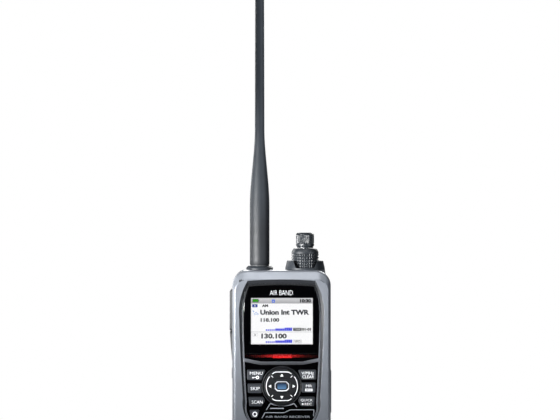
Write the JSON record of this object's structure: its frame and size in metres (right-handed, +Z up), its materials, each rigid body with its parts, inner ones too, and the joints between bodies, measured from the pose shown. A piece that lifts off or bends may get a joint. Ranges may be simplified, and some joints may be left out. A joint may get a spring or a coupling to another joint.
{
  "type": "handheld aviation radio",
  "caption": "Handheld airband receiver with a colour display, push keys, a rocker pad, stacked knobs, a whip antenna and a clip-on battery pack.",
  "frame": {"origin": "middle of the flat face that the radio stands on", "axes": "+X to the right and +Z up as seen from the front, +Y from the front to the back"},
  "size_m": [0.0597, 0.0371, 0.348],
  "materials": {
    "case_grey": "satin metallic",
    "chassis_paint": "fine texture",
    "panel_black": "high gloss",
    "trim_silver": "satin",
    "lens_clear": "polished",
    "screen": "backlit",
    "key_slate": "satin",
    "knob_slate": "satin",
    "antenna_slate": "satin",
    "black_rubber": "matte",
    "black_plastic": "fine texture",
    "grey_plastic": "matte",
    "board_green": "solder mask",
    "tin_steel": "brushed",
    "dark_steel": "blackened",
    "gold_brass": "plated",
    "amber_film": "film",
    "cell_wrap": "shrink film",
    "black_cloth": "woven"
  },
  "bodies": {
    "radio": {"front_case": "case_grey", "rear_chassis": "chassis_paint", "case_seal": "black_rubber", "case_screws": "dark_steel", "panel_trim": "trim_silver", "front_panel": "panel_black", "display_lens": "lens_clear", "display_module": "screen", "display_frame": "grey_plastic", "keypad_mat": "black_rubber", "logic_board": "board_green", "key_domes": "tin_steel", "main_board": "board_green", "shield_cans": "tin_steel", "flex_cable": "amber_film", "speaker": "black_plastic", "speaker_mesh": "black_cloth", "antenna_jack": "gold_brass", "antenna_collar": "knob_slate", "encoder_housing": "tin_steel", "encoder_nut": "tin_steel", "phones_jack": "black_plastic", "usb_socket": "tin_steel", "side_key_flex": "amber_film", "battery_terminals": "gold_brass", "latch_pin": "tin_steel", "latch_spring": "tin_steel", "strap_bar": "tin_steel"},
    "dpad_pivot": {"dpad_pivot": "black_rubber"},
    "dpad": {"dpad_ring": "key_slate"},
    "enter_key": {"enter_key": "key_slate"},
    "function_key": {"function_key": "black_rubber"},
    "squelch_key": {"squelch_key": "black_rubber"},
    "lamp_key": {"lamp_key": "black_rubber"},
    "jack_cover": {"jack_cover": "black_rubber"},
    "upper_knob": {"upper_knob": "knob_slate", "inner_shaft": "tin_steel"},
    "lower_knob": {"lower_knob": "knob_slate", "outer_shaft": "tin_steel"},
    "antenna_gasket": {"antenna_gasket": "black_rubber"},
    "antenna": {"antenna_sleeve": "antenna_slate", "antenna_plug": "gold_brass", "antenna_core": "grey_plastic"},
    "battery_pack": {"pack_case": "black_plastic", "pack_lid": "black_plastic", "pack_cells": "cell_wrap", "pack_contacts": "gold_brass", "clip_plate": "dark_steel", "clip_pin": "tin_steel", "clip_spring": "tin_steel", "clip_screws": "dark_steel"},
    "belt_clip": {"belt_clip": "black_plastic"},
    "battery_latch": {"battery_latch": "black_plastic"},
    "menu_key": {"menu_key": "key_slate"},
    "skip_key": {"skip_key": "key_slate"},
    "scan_key": {"scan_key": "key_slate"},
    "power_key": {"power_key": "key_slate"},
    "clear_key": {"clear_key": "key_slate"},
    "memory_key": {"memory_key": "key_slate"},
    "record_key": {"record_key": "key_slate"}
  },
  "joints": [
    {"name": "menu_key_press", "type": "slide", "parent": "radio", "child": "menu_key", "axis": [0, 1, 0], "range_m": [0, 0.0005], "stiffness_N_per_m": 300, "springref_m": -0.001},
    {"name": "skip_key_press", "type": "slide", "parent": "radio", "child": "skip_key", "axis": [0, 1, 0], "range_m": [0, 0.0005], "stiffness_N_per_m": 300, "springref_m": -0.001},
    {"name": "scan_key_press", "type": "slide", "parent": "radio", "child": "scan_key", "axis": [0, 1, 0], "range_m": [0, 0.0005], "stiffness_N_per_m": 300, "springref_m": -0.001},
    {"name": "power_key_press", "type": "slide", "parent": "radio", "child": "power_key", "axis": [0, 1, 0], "range_m": [0, 0.0005], "stiffness_N_per_m": 300, "springref_m": -0.001},
    {"name": "clear_key_press", "type": "slide", "parent": "radio", "child": "clear_key", "axis": [0, 1, 0], "range_m": [0, 0.0005], "stiffness_N_per_m": 300, "springref_m": -0.001},
    {"name": "memory_key_press", "type": "slide", "parent": "radio", "child": "memory_key", "axis": [0, 1, 0], "range_m": [0, 0.0005], "stiffness_N_per_m": 300, "springref_m": -0.001},
    {"name": "record_key_press", "type": "slide", "parent": "radio", "child": "record_key", "axis": [0, 1, 0], "range_m": [0, 0.0005], "stiffness_N_per_m": 300, "springref_m": -0.001},
    {"name": "enter_key_press", "type": "slide", "parent": "radio", "child": "enter_key", "axis": [0, 1, 0], "range_m": [0, 0.0005], "stiffness_N_per_m": 300, "springref_m": -0.001},
    {"name": "dpad_tilt_updown", "type": "hinge", "parent": "radio", "child": "dpad_pivot", "pos_m": [0.0002, -0.01215, 0.07525], "axis": [1, 0, 0], "range_deg": [-2, 2], "stiffness_Nm_per_rad": 0.05},
    {"name": "dpad_tilt_leftright", "type": "hinge", "parent": "dpad_pivot", "child": "dpad", "pos_m": [0.0002, -0.01215, 0.07525], "axis": [0, 0, 1], "range_deg": [-2, 2], "stiffness_Nm_per_rad": 0.05},
    {"name": "function_key_press", "type": "slide", "parent": "radio", "child": "function_key", "axis": [1, 0, 0], "range_m": [0, 0.0005], "stiffness_N_per_m": 400, "springref_m": -0.001},
    {"name": "squelch_key_press", "type": "slide", "parent": "radio", "child": "squelch_key", "axis": [1, 0, 0], "range_m": [0, 0.0005], "stiffness_N_per_m": 400, "springref_m": -0.001},
    {"name": "lamp_key_press", "type": "slide", "parent": "radio", "child": "lamp_key", "axis": [1, 0, 0], "range_m": [0, 0.0005], "stiffness_N_per_m": 400, "springref_m": -0.001},
    {"name": "jack_cover_swing", "type": "hinge", "parent": "radio", "child": "jack_cover", "pos_m": [0.0286, -0.0062, 0.05975], "axis": [0, 1, 0], "range_deg": [0, 100]},
    {"name": "upper_knob_turn", "type": "hinge", "parent": "radio", "child": "upper_knob", "pos_m": [0.014, 0, 0.16], "axis": [0, 0, 1], "continuous": true},
    {"name": "lower_knob_turn", "type": "hinge", "parent": "radio", "child": "lower_knob", "pos_m": [0.014, 0, 0.15], "axis": [0, 0, 1], "continuous": true},
    {"name": "antenna_lift", "type": "slide", "parent": "radio", "child": "antenna_gasket", "axis": [0, 0, 1], "range_m": [0, 0.00354]},
    {"name": "antenna_unscrew", "type": "hinge", "parent": "antenna_gasket", "child": "antenna", "pos_m": [-0.013, 0, 0.15], "axis": [0, 0, 1], "range_deg": [0, 1800]},
    {"name": "battery_pack_tilt", "type": "hinge", "parent": "radio", "child": "battery_pack", "pos_m": [0, 0.0064, 0.1225], "axis": [1, 0, 0], "range_deg": [0, 5.6]},
    {"name": "battery_latch_turn", "type": "hinge", "parent": "radio", "child": "battery_latch", "pos_m": [0, 0.0134, 0.0026], "axis": [-1, 0, 0], "range_deg": [0, 90.5], "stiffness_Nm_per_rad": 0.005, "springref_deg": -17.19},
    {"name": "belt_clip_open", "type": "hinge", "parent": "battery_pack", "child": "belt_clip", "pos_m": [0, 0.019, 0.106], "axis": [1, 0, 0], "range_deg": [0, 16], "stiffness_Nm_per_rad": 0.25, "springref_deg": -8.59}
  ],
  "couplings": [
    {"joint": "antenna_lift", "follows": "antenna_unscrew", "m_per_rad": 0.0001123},
    {"joint": "battery_latch_turn", "follows": "battery_pack_tilt", "ratio": 16.07}
  ]
}
